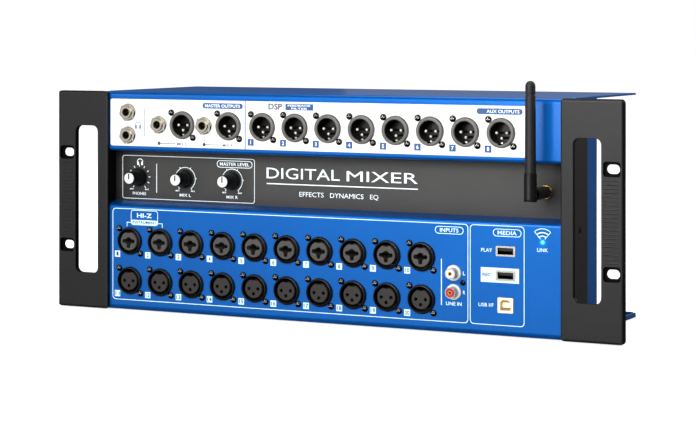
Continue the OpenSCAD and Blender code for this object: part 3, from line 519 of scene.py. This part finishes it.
class Print:
    """Thin ink shapes on a face that looks forward; x and z are in millimetres."""

    def __init__(self, face_y, thick=INK_MM):
        self.mesh = bmesh.new()
        self.back = face_y + SINK_MM
        self.front = face_y - thick

    def layer(self, outline, y):
        return [self.mesh.verts.new((x * MM, y * MM, z * MM)) for x, z in outline]

    def fill(self, outline):
        """A filled shape. The outline runs anticlockwise as a viewer sees it."""
        back = self.layer(outline, self.back)
        front = self.layer(outline, self.front)
        self.mesh.faces.new(front)
        self.mesh.faces.new(back[::-1])
        for i in range(len(outline)):
            j = (i + 1) % len(outline)
            self.mesh.faces.new((front[i], back[i], back[j], front[j]))

    def band(self, outer, inner, closed=True):
        """The strip between two outlines with the same number of points."""
        count = len(outer)
        rings = [self.layer(line, y) for y in (self.front, self.back) for line in (outer, inner)]
        for i in range(count if closed else count - 1):
            j = (i + 1) % count
            outer_front, inner_front, outer_back, inner_back = [(r[i], r[j]) for r in rings]
            self.mesh.faces.new((outer_front[0], outer_front[1], inner_front[1], inner_front[0]))
            self.mesh.faces.new((outer_back[1], outer_back[0], inner_back[0], inner_back[1]))
            self.mesh.faces.new((outer_front[1], outer_front[0], outer_back[0], outer_back[1]))
            self.mesh.faces.new((inner_front[0], inner_front[1], inner_back[1], inner_back[0]))
        if not closed:
            for i in (0, count - 1):
                outer_front, inner_front, outer_back, inner_back = [r[i] for r in rings]
                self.mesh.faces.new((outer_front, inner_front, inner_back, outer_back))

    def box(self, x0, x1, z0, z1, radius=0.0):
        if radius:
            self.fill(round_box(x0, x1, z0, z1, radius))
        else:
            self.fill([(x0, z0), (x1, z0), (x1, z1), (x0, z1)])

    def square(self, x, z, half):
        """The small square behind a number."""
        self.box(x - half, x + half, z - half, z + half, 0.3)

    def frame(self, x0, x1, z0, z1, radius, width):
        self.band(round_box(x0, x1, z0, z1, radius),
                  round_box(x0 + width, x1 - width, z0 + width, z1 - width, radius - width * 0.8))

    def line(self, x0, z0, x1, z1, width):
        along = Vector((x1 - x0, z1 - z0)).normalized() * width / 2
        side = Vector((-along.y, along.x))
        self.fill([(x0 - side.x, z0 - side.y), (x1 - side.x, z1 - side.y),
                   (x1 + side.x, z1 + side.y), (x0 + side.x, z0 + side.y)])

    def arc(self, x, z, radius, width, start, end, count=24):
        self.band(arc_points(x, z, radius + width / 2, start, end, count),
                  arc_points(x, z, radius - width / 2, start, end, count), closed=False)

    def disc(self, x, z, radius):
        count = 20
        self.fill(arc_points(x, z, radius, 0, 360 - 360 / count, count))

    def words(self, text, x, z, height, width=None, bold=0.0, align="CENTER"):
        """Plain letters, middled on (x, z), or starting there; width squeezes the line to a length."""
        curve = bpy.data.curves.new("words", "FONT")
        curve.body = text
        curve.resolution_u = 3
        curve.offset = bold
        curve.extrude = 0.5
        holder = bpy.data.objects.new("words", curve)
        bpy.context.scene.collection.objects.link(holder)
        bpy.context.view_layer.update()
        mesh = bpy.data.meshes.new_from_object(holder.evaluated_get(bpy.context.evaluated_depsgraph_get()))
        xs = [v.co.x for v in mesh.vertices]
        ys = [v.co.y for v in mesh.vertices]
        tall = height / (max(ys) - min(ys))
        wide = tall if width is None else width / (max(xs) - min(xs))
        centre_x = (min(xs) + max(xs)) / 2 if align == "CENTER" else min(xs)
        centre_y = (min(ys) + max(ys)) / 2
        for vertex in mesh.vertices:
            depth = self.front if vertex.co.z > 0 else self.back
            vertex.co = ((x + (vertex.co.x - centre_x) * wide) * MM, depth * MM,
                         (z + (vertex.co.y - centre_y) * tall) * MM)
        self.mesh.from_mesh(mesh)
        bpy.data.objects.remove(holder)
        bpy.data.curves.remove(curve)
        bpy.data.meshes.remove(mesh)

    def headphones(self, x, z, size):
        """Two ear cups under a headband."""
        self.arc(x, z, size * 0.42, size * 0.09, -5, 185, 16)
        for side in (-1, 1):
            self.box(x + side * size * 0.3 - size * 0.13, x + side * size * 0.3 + size * 0.13,
                     z - size * 0.42, z + size * 0.06, size * 0.1)

    def piece(self, name, material, slot, body=CASE):
        new_piece(name, self.mesh, material, body)


def new_piece(name, mesh, material, body=CASE):
    """Turns built geometry into a piece that rides on a body."""
    bmesh.ops.remove_doubles(mesh, verts=mesh.verts, dist=0.0001 * MM)
    bmesh.ops.recalc_face_normals(mesh, faces=mesh.faces)
    data = bpy.data.meshes.new(name)
    mesh.to_mesh(data)
    mesh.free()
    data.materials.append(material)
    piece = bpy.data.objects.new(name, data)
    bpy.context.scene.collection.objects.link(piece)
    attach(piece, body)


def output_graphics():
    """What is printed on the white plate round the outputs."""
    face = PLATE_LOW.y
    blue = Print(face)
    steel = Print(face)
    pale = Print(face)
    lines = Print(face)
    letters = Print(face - INK_MM)
    divider_x = (OUTPUT_X[1] + OUTPUT_X[2]) / 2
    blue.box(divider_x - 0.4, divider_x + 0.4, PLATE_LOW.z, PLATE_HIGH.z)
    pill_z = PLATE_HIGH.z - 4.3
    pill_half = 2.2
    for x0, x1, text, length in [(divider_x - 38.4, divider_x - 2.2, "MASTER OUTPUTS", 31.5),
                                 (PLATE_HIGH.x - 40.6, PLATE_HIGH.x - 4.3, "AUX OUTPUTS", 26)]:
        steel.box(x0, x1, pill_z - pill_half, pill_z + pill_half, 2.1)
        letters.words(text, x1 - 2.4 - length / 2, pill_z, 2.5, length, bold=0.015)
    for number, x in enumerate(OUTPUT_X[2:], 1):
        box_x = x - 10.2
        box_z = OUTPUT_Z - 12.2
        steel.square(box_x, box_z, 2.65)
        letters.words(str(number), box_x, box_z, 3.0, bold=0.02)
    lines.box(PLATE_LOW.x + 32, PLATE_LOW.x + 32.5, PLATE_LOW.z + 8, PLATE_HIGH.z - 7.3)
    pale.headphones(PLATE_LOW.x + 25.9, OUTPUT_Z - 1.1, 6.5)
    rail_z = PLATE_LOW.z + 2.7
    for x, text in zip(groups("jack_nuts", X)[1:], ["MIX L", "MIX R"]):
        lines.box(x - 0.25, x + 0.25, rail_z, OUTPUT_Z - 8.4)
        lines.box(x, x + 15.4, rail_z - 0.25, rail_z + 0.25)
        lines.disc(x, rail_z, 1.35)
        lines.words(text, x + 21.4, rail_z - 0.1, 2.2, 9, bold=0.005)
    mark_x = OUTPUT_X[2] + 5.5
    mark_z = pill_z + 0.4
    lines.words("DSP", mark_x + 6, mark_z, 4.8, 12, bold=0.025)
    steel.box(mark_x + 15, mark_x + 39, mark_z - 2.6, mark_z + 2.3, 0.2)
    letters.words("FEEDBACK", mark_x + 27, mark_z + 1, 1.4, 20, bold=0.02)
    letters.words("FILTER", mark_x + 27, mark_z - 1.3, 1.4, 14, bold=0.02)
    blue.piece("output_divider_print", BLUE_INK, "blue_paint")
    steel.piece("output_blue_print", STEEL_INK, "blue_paint")
    pale.piece("output_pale_print", PALE_INK, "blue_paint")
    lines.piece("output_lines_print", LINE_INK, "blue_paint")
    letters.piece("output_letters_print", WHITE_INK, "white_label")


def dial(ink_print, x, z, ring):
    """Scale about a knob: a ring with ticks for a mix level, plain ticks for the headphones."""
    if ring:
        ink_print.arc(x, z, 9.3, 0.5, DIAL_START, DIAL_END, 44)
        ticks = [(a, 9.3, 10.6) for a in range(DIAL_START, DIAL_END + 1, 58)]
    else:
        ticks = [(a, 8.6, 10.4) for a in range(DIAL_START, DIAL_END + 1, 29)]
    for angle, near, far in ticks:
        a = math.radians(angle)
        ink_print.line(x + near * math.cos(a), z + near * math.sin(a),
                       x + far * math.cos(a), z + far * math.sin(a), 0.6)
    ink_print.words("MIN", x - 7.2, z - 9.8, 1.3, 3.4, bold=0.02)
    ink_print.words("MAX", x + 7.2, z - 9.8, 1.3, 3.6, bold=0.02)


def channel_graphics():
    """What is printed on the black panel in the channel."""
    white = Print(CHANNEL_FACE_Y)
    x0 = KNOB_X[0] - 16.1
    x1 = KNOB_X[2] + 20.4
    z0 = KNOB_Z - 17.7
    z1 = KNOB_Z + 17.8
    white.frame(x0, x1, z0, z1, 2.2, 0.45)
    white.box(KNOB_X[0] + 16, KNOB_X[0] + 16.6, z0 + 5.5, z1 - 6.3)
    white.headphones(KNOB_X[0] + 0.6, z1 - 5.4, 6.2)
    for i, (x, text) in enumerate(zip(KNOB_X, ["PHONES", "MIX L", "MIX R"])):
        dial(white, x, KNOB_Z, ring=i > 0)
        white.words(text, x, z0 + 4.4, 2.4, len(text) * 2.1, bold=0.01)
    pill_x = KNOB_X[2] + 2.2
    white.frame(pill_x - 16.1, pill_x + 16.1, z1 - 7.6, z1 - 1.8, 2.8, 0.5)
    white.words("MASTER LEVEL", pill_x, z1 - 4.7, 2.6, 26.5, bold=0.01)
    title_x = KNOB_X[2] + 31
    title_z = KNOB_Z + 7.2
    white.words("DIGITAL", title_x, title_z, 8.6, 64, align="LEFT")
    white.words("MIXER", title_x + 70, title_z - 0.3, 8.0, 60, align="LEFT")
    white.box(title_x, title_x + 130, title_z - 8.8, title_z - 8)
    white.words("EFFECTS   DYNAMICS   EQ", title_x + 63, title_z - 16.2, 4.4, 68)
    white.piece("channel_print", WHITE_INK, "white_label")


def number_boxes(white, dark, first, z):
    """A numbered square beside each connector of one row of inputs."""
    for number, x in enumerate(INPUT_X, first):
        box_x = x - 11.8
        box_z = z - 10.9
        white.square(box_x, box_z, 2.5)
        text = str(number)
        dark.words(text, box_x, box_z, 3.2, 1.9 * len(text), bold=0.015)


def high_impedance_mark(white):
    """Box that ties the first two inputs together; gives the middle and the width of its lower field."""
    x0 = INPUT_X[0] + 0.9
    x1 = INPUT_X[1] - 2.3
    z1 = LOWER_HIGH.z - 6.4
    rule = 0.5
    arm_z = z1 - 10
    foot_z = z1 - 13.6
    left_x = x0 - 3.4
    right_x = x1 + 3.8
    white.frame(x0, x1, z1 - 12.2, z1, 2.2, rule)
    white.words("HI-Z", (x0 + x1) / 2, z1 - 4.3, 3.6, 14, bold=0.02)
    white.box(x0 + 0.4, x1 - 0.4, z1 - 11.9, z1 - 8, 1.6)
    white.box(left_x, x0, arm_z - rule, arm_z)
    white.box(left_x - rule, left_x, foot_z, arm_z)
    white.box(x1, right_x, arm_z - rule, arm_z)
    white.box(right_x, right_x + rule, foot_z, arm_z)
    return (x0 + x1) / 2, z1 - 9.9, x1 - x0


def backed_port(white, x0, x1, z):
    """White backing that leaves a wide port's mouth open."""
    wide = 7.6
    tall = 3.7
    z0 = z - 5.4
    z1 = z + 5.6
    white.box(x0, USB_X - wide, z0, z1)
    white.box(USB_X + wide, x1, z0, z1)
    white.box(USB_X - wide, USB_X + wide, z0, z - tall)
    white.box(USB_X - wide, USB_X + wide, z + tall, z1)


def link_mark(white):
    """Waves that spread upwards from the status light, between two rays."""
    x = LIGHT.x
    z = LIGHT.z + 0.4
    for radius, width in [(4.2, 0.85), (6.8, 0.85), (9.6, 0.55)]:
        white.arc(x, z, radius, width, 52, 128, 14)
    near = 2.6
    far = 9.8
    for angle in (49, 131):
        a = math.radians(angle)
        white.line(x + near * math.cos(a), z + near * math.sin(a),
                   x + far * math.cos(a), z + far * math.sin(a), 0.5)
    white.words("LINK", x, LIGHT.z - 5.7, 2.7, 8.5, bold=0.012)


def input_graphics():
    """What is printed on the lower panel round the inputs."""
    white = Print(FACE_Y)
    dark = Print(FACE_Y - INK_MM)
    top = LOWER_HIGH.z - 5.4
    low = LOWER_LOW.z + 8
    media_x0 = USB_X - 28.4
    media_x1 = USB_X + 14.8
    white.frame(INPUT_X[0] - 16.5, media_x0 - 1.3, low, top, 3, 0.55)
    white.frame(media_x0, media_x1, low, top, 3, 0.55)
    for x0, x1, text in [(media_x0 - 28.2, media_x0 - 5.1, "INPUTS"),
                         (media_x1 - 24.8, media_x1 - 2.4, "MEDIA")]:
        white.frame(x0, x1, top - 8.2, top - 2.4, 2.8, 0.5)
        white.words(text, (x0 + x1) / 2, top - 5.3, 3.0, 15, bold=0.012)
    number_boxes(white, dark, 1, COMBO_Z)
    number_boxes(white, dark, 11, SOCKET_Z)
    x, z, wide = high_impedance_mark(white)
    dark.words("INSTRUMENT", x, z, 2.2, wide - 3, bold=0.02)
    white.box(RCA_X - 10.4, RCA_X - 9.7, RCA_Z[0] - 10.5, RCA_Z[1] + 10)
    for z, text in zip(RCA_Z, "RL"):
        white.words(text, RCA_X + 8.2, z, 2.8, 1.8, bold=0.01)
    white.words("LINE IN", RCA_X, RCA_Z[0] - 8.9, 2.7, 12.5, bold=0.01)
    white.words("PLAY", USB_X - 15, USB_Z[1] + 0.3, 2.7, 8.8, bold=0.01)
    backed_port(white, USB_X - 19.7, USB_X + 10.5, USB_Z[0])
    dark.words("REC", USB_X - 15, USB_Z[0] + 0.2, 2.6, 6.6, bold=0.03)
    white.words("USB I/F", USB_X - 15.5, USB_B_Z - 0.4, 2.7, 12, bold=0.005)
    link_mark(white)
    white.piece("input_print", SKY_INK, "white_label")
    dark.piece("input_numbers_print", LINE_INK, "blue_paint")


def knob_pointers():
    """Black line on each knob's cap, from its middle to its edge at the top."""
    for name in KNOBS:
        low, high = box_mm(f"{name}_cap")
        x = (low.x + high.x) / 2
        z = (low.z + high.z) / 2
        pointer = Print(low.y)
        pointer.box(x - 0.6, x + 0.6, z - 0.8, z + 3.8, 0.3)
        pointer.piece(f"{name}_pointer", BLACK_INK, "black_plastic", f"{name}_knob_body")


# ---------- small raised parts ----------

def add_tube(mesh, x, z, front, back, outer, inner, count=20):
    """A short tube along Y, open at both ends and closed in its wall."""
    rings = []
    for radius, y in [(outer, front), (outer, back), (inner, back), (inner, front)]:
        points = arc_points(x, z, radius, 0, 360 - 360 / count, count)
        rings.append([mesh.verts.new((px * MM, y * MM, pz * MM)) for px, pz in points])
    for a, b in zip(rings, rings[1:] + rings[:1]):
        for i in range(count):
            j = (i + 1) % count
            mesh.faces.new((a[i], a[j], b[j], b[i]))


def behind_face(side_view):
    """Carries (depth, z) points to (y, z) places behind the panels' front face."""
    return [(FACE_Y + deep, high) for deep, high in side_view]


def add_leaf(mesh, side_view, x0, x1):
    """A bent strip: a side view of (y, z) points carried from x0 to x1."""
    ends = [[mesh.verts.new((x * MM, y * MM, z * MM)) for y, z in side_view] for x in (x0, x1)]
    mesh.faces.new(ends[0])
    mesh.faces.new(ends[1][::-1])
    count = len(side_view)
    for i in range(count):
        j = (i + 1) % count
        mesh.faces.new((ends[0][i], ends[0][j], ends[1][j], ends[1][i]))


def socket_contacts():
    """Gold sleeves set inside the pin holes of the input sockets."""
    mesh = bmesh.new()
    for x in INPUT_X:
        for angle in PIN_ANGLES:
            a = math.radians(angle)
            add_tube(mesh, x + PIN_RADIUS * math.cos(a), SOCKET_Z + PIN_RADIUS * math.sin(a),
                     FACE_Y + 5, FACE_Y + 9, 1.36, 1.0, 14)
    new_piece("input_contact_sleeves", mesh, SLOTS["gold_plate"])


def output_keys():
    """The key ridge at the bottom of each output cup."""
    mesh = bmesh.new()
    z = OUTPUT_Z
    for x in OUTPUT_X:
        ridge = [(0.8, z - 8.1), (0.8, z - 7.1), (1.4, z - 6.7), (9.5, z - 6.7), (9.5, z - 8.1)]
        add_leaf(mesh, behind_face(ridge), x - 0.3, x + 1.3)
    new_piece("output_keys", mesh, SLOTS["nickel"])


def screw_slots():
    """The three bright arms of the cross in each screw head beside a connector: painted highlights in
    nickel on the dark heads.
    """
    head_r = 2.6
    near, far, half = 0.3, 1.6, 0.22
    upper_near = 0.35
    offset = box_mm("output_screws")[1].x - head_r - OUTPUT_X[-1]
    for kind, rows in [("output", [(OUTPUT_X, OUTPUT_Z)]),
                       ("input", [(INPUT_X, COMBO_Z), (INPUT_X, SOCKET_Z)])]:
        wear_and_highlight = Print(box_mm(f"{kind}_screws")[0].y, 0.03)
        for x, z in [(x, z) for xs, z in rows for x in xs]:
            for side in (-1, 1):
                cx = x + side * offset
                cz = z - side * offset
                wear_and_highlight.box(cx - far, cx - near, cz - half, cz + half)
                wear_and_highlight.box(cx + near, cx + far, cz - half, cz + half)
                wear_and_highlight.box(cx - half, cx + half, cz + upper_near, cz + far)
        wear_and_highlight.piece(f"{kind}_screw_slots", SLOTS["nickel"], "nickel")


def jack_springs():
    """Black mouth, brass lining and spring leaf in each jack's bore."""
    mesh = bmesh.new()
    mouths = bmesh.new()
    lining_front = FACE_Y - 0.5
    nuts = NODES["jack_nuts"].data.vertices
    for x in groups("jack_nuts", X):
        heights = [v.co.z / MM for v in nuts if abs(v.co.x / MM - x) < 10]
        for z in clusters(heights, 3):
            leaf = [(1.5, z + 0.4), (4, z + 1.1), (7, z + 0.7), (7, z + 0.3), (4, z + 0.7), (1.5, z)]
            add_leaf(mesh, behind_face(leaf), x - 2.4, x + 2.4)
            add_tube(mesh, x, z, lining_front, FACE_Y + 7, 3.2, 2.5)
            add_tube(mouths, x, z, FACE_Y - 4, lining_front, 3.2, 2.5)
    new_piece("jack_springs", mesh, DARK_BRASS)
    new_piece("jack_mouths", mouths, KNOB_PLASTIC)


def rca_fronts():
    """Coloured insulators with a gold sleeve, in the front of the two line sockets."""
    front = box_mm("rca_shells")[0].y
    sleeves = bmesh.new()
    for z, name, material in [(RCA_Z[1], "left", SLOTS["white_plastic"]),
                              (RCA_Z[0], "right", RED_PLASTIC)]:
        ring = bmesh.new()
        add_tube(ring, RCA_X, z, front - 0.35, front + 0.5, 3.3, 1.6, 32)
        new_piece(f"rca_{name}_insulator", ring, material)
        add_tube(sleeves, RCA_X, z, front - 0.5, front + 3, 1.58, 1.0)
    new_piece("rca_sleeves", sleeves, SLOTS["gold_plate"])


def usb_contacts():
    """Four gold strips on each wide port's tongue, and pads on the square port's."""
    mesh = bmesh.new()
    for z in USB_Z:
        for x in (-3.5, -1.2, 1.2, 3.5):
            strip = [(1.4, z + 0.12), (2.2, z - 0.12), (9, z - 0.12), (9, z + 0.12)]
            add_leaf(mesh, behind_face(strip), USB_X + x - 0.5, USB_X + x + 0.5)
    for side in (-1, 1):
        for x in (-1.3, 1.3):
            z = USB_B_Z + side * 1.7
            pad = [(2, z), (2.6, z + side * 0.15), (8, z + side * 0.15), (8, z)]
            add_leaf(mesh, behind_face(pad), USB_X + x - 0.4, USB_X + x + 0.4)
    new_piece("usb_contacts", mesh, SLOTS["gold_plate"])


def ear_ribs(side):
    """Fine grip ribs across a rack ear, between its two bolt slots."""
    low, high = box_mm(f"rack_ear_{side}")
    outer = low.x if side == "left" else high.x
    inward = 1 if side == "left" else -1
    x0, x1 = sorted((outer + inward * 4.3, outer + inward * 15.3))
    mesh = bmesh.new()
    pitch, half, rise = 3.0, 0.55, 0.3
    for row in range(-10, 11):
        z = row * pitch
        ridge = [(low.y + 0.02, z - half), (low.y + 0.02, z + half), (low.y - rise * 0.7, z + half * 0.55),
                 (low.y - rise, z), (low.y - rise * 0.7, z - half * 0.55)]
        add_leaf(mesh, ridge, x0, x1)
    new_piece(f"ear_ribs_{side}", mesh, SLOTS["black_powder_coat"])


# ---------- stage ----------

# Strengths of the white surroundings as the object sees them; the camera sees them brighter.
STUDIO_GLOW = 0.09
FLOOR_GLOW = 0.08

# What the lights aim at, in metres.
LIGHTS_AIM = (0, 0.03, 0)


def floor_material():
    """Nearly white to the camera, with soft shadows near the object and a painted shadow where its glow
    fades towards the middle, and dimmer to everything else.
    """
    graph = Graph("floor_look")
    away = graph.node("ShaderNodeVectorMath", {0: graph.place}, operation="LENGTH").outputs["Value"]
    # Painted shadow: for the camera the floor's glow falls from 1 to 0.62 towards the middle, under the
    # object.
    far = graph.spread(away, 0.4, 1.2, 0.62, 1.0)
    seen = graph.tree.nodes.new("ShaderNodeLightPath").outputs["Is Camera Ray"]
    tone = graph.mix(graph.noise(60, 2.0), (0.9, 0.9, 0.9, 1), (0.93, 0.93, 0.93, 1))
    graph.set(Base_Color=tone, Roughness=0.9, Emission_Color=(1, 1, 1, 1),
              Emission_Strength=graph.spread(seen, 0.0, 1.0, FLOOR_GLOW, far))
    return graph.material


def build_floor():
    """A wide disc just under the object."""
    mesh = bmesh.new()
    bmesh.ops.create_circle(mesh, cap_ends=True, segments=64, radius=14)
    data = bpy.data.meshes.new("floor")
    mesh.to_mesh(data)
    mesh.free()
    data.materials.append(floor_material())
    floor = bpy.data.objects.new("floor", data)
    floor.location.z = cad_bounds[0].z - 0.0005
    bpy.context.scene.collection.objects.link(floor)
    floor.visible_glossy = False


def build_world():
    """White for the camera, and a dimmer studio for everything else."""
    world = bpy.data.worlds.new("studio")
    world.use_nodes = True
    nodes = world.node_tree.nodes
    links = world.node_tree.links
    background = nodes["Background"]
    path = nodes.new("ShaderNodeLightPath")
    strength = nodes.new("ShaderNodeMapRange")
    links.new(path.outputs["Is Camera Ray"], strength.inputs[0])
    strength.inputs["To Min"].default_value = STUDIO_GLOW
    strength.inputs["To Max"].default_value = 1.0
    background.inputs["Color"].default_value = (1, 1, 1, 1)
    links.new(strength.outputs[0], background.inputs["Strength"])
    bpy.context.scene.world = world


def area_light(name, place, wide, tall, power):
    """A soft box, wide by tall in metres, that the camera doesn't see."""
    lamp = bpy.data.lights.new(name, "AREA")
    lamp.shape = "RECTANGLE"
    lamp.size = wide
    lamp.size_y = tall
    lamp.energy = power
    holder = bpy.data.objects.new(name, lamp)
    holder.location = place
    holder.rotation_euler = (Vector(LIGHTS_AIM) - Vector(place)).to_track_quat("-Z", "Y").to_euler()
    holder.visible_camera = False
    bpy.context.scene.collection.objects.link(holder)


def build_lights():
    area_light("key_box", (0.1, -1.15, 0.45), 0.7, 0.6, power=12)
    area_light("mirror_box", (-0.75, -1.5, 0.05), 1.3, 1.0, power=3.4)
    area_light("accent_box", (-0.33, -1.6, 0.12), 0.3, 0.3, power=1.5)
    area_light("bend_box", (-0.75, -1.45, 0.74), 1.3, 0.28, power=5)
    area_light("top_box", (0.05, 0.25, 1.3), 1.3, 1.0, power=10)
    area_light("back_box", (-0.2, 1.8, 0.25), 1.2, 0.6, power=0.6)
    area_light("left_back_box", (-1.6, 0.95, 0.7), 0.9, 0.7, power=9)
    area_light("right_back_box", (1.25, 1.4, 0.75), 0.9, 0.7, power=10)


# The camera: its place in metres, its heading in degrees and its lens.
LENS_MM = 114.27
SENSOR_MM = 36
CAMERA_PLACE = (0.7414, -1.5499, 0.14155)
CAMERA_HEADING = 28.795
LENS_SHIFT = {"shift_x": 0.2126, "shift_y": -0.2750}


def shift_at_home(data, camera, name, amount):
    """Shifts the lens while the camera stands at its own place, and centres it anywhere else."""
    driver = data.driver_add(name).driver
    gaps = []
    for axis, home in zip("XYZ", CAMERA_PLACE):
        place = driver.variables.new()
        place.name = axis.lower()
        place.type = "TRANSFORMS"
        place.targets[0].id = camera
        place.targets[0].transform_type = f"LOC_{axis}"
        gaps.append(f"abs({place.name} - ({home:.5f}))")
    driver.expression = f"{amount} if {' + '.join(gaps)} < 0.001 else 0.0"


def build_camera():
    """Stands level; the lens shift puts the object in the picture off the lens's own axis."""
    data = bpy.data.cameras.new("camera")
    data.sensor_width = SENSOR_MM
    data.lens = LENS_MM
    camera = bpy.data.objects.new("camera", data)
    camera.location = CAMERA_PLACE
    camera.rotation_euler = (math.radians(90), 0, math.radians(CAMERA_HEADING))
    bpy.context.scene.collection.objects.link(camera)
    bpy.context.scene.camera = camera
    for name, amount in LENS_SHIFT.items():
        shift_at_home(data, camera, name, amount)


dress_cad()
output_graphics()
channel_graphics()
input_graphics()
knob_pointers()
socket_contacts()
output_keys()
screw_slots()
jack_springs()
rca_fronts()
usb_contacts()
ear_ribs("left")
ear_ribs("right")
build_floor()
build_world()
build_lights()
build_camera()
bpy.context.scene.view_settings.view_transform = "Standard"
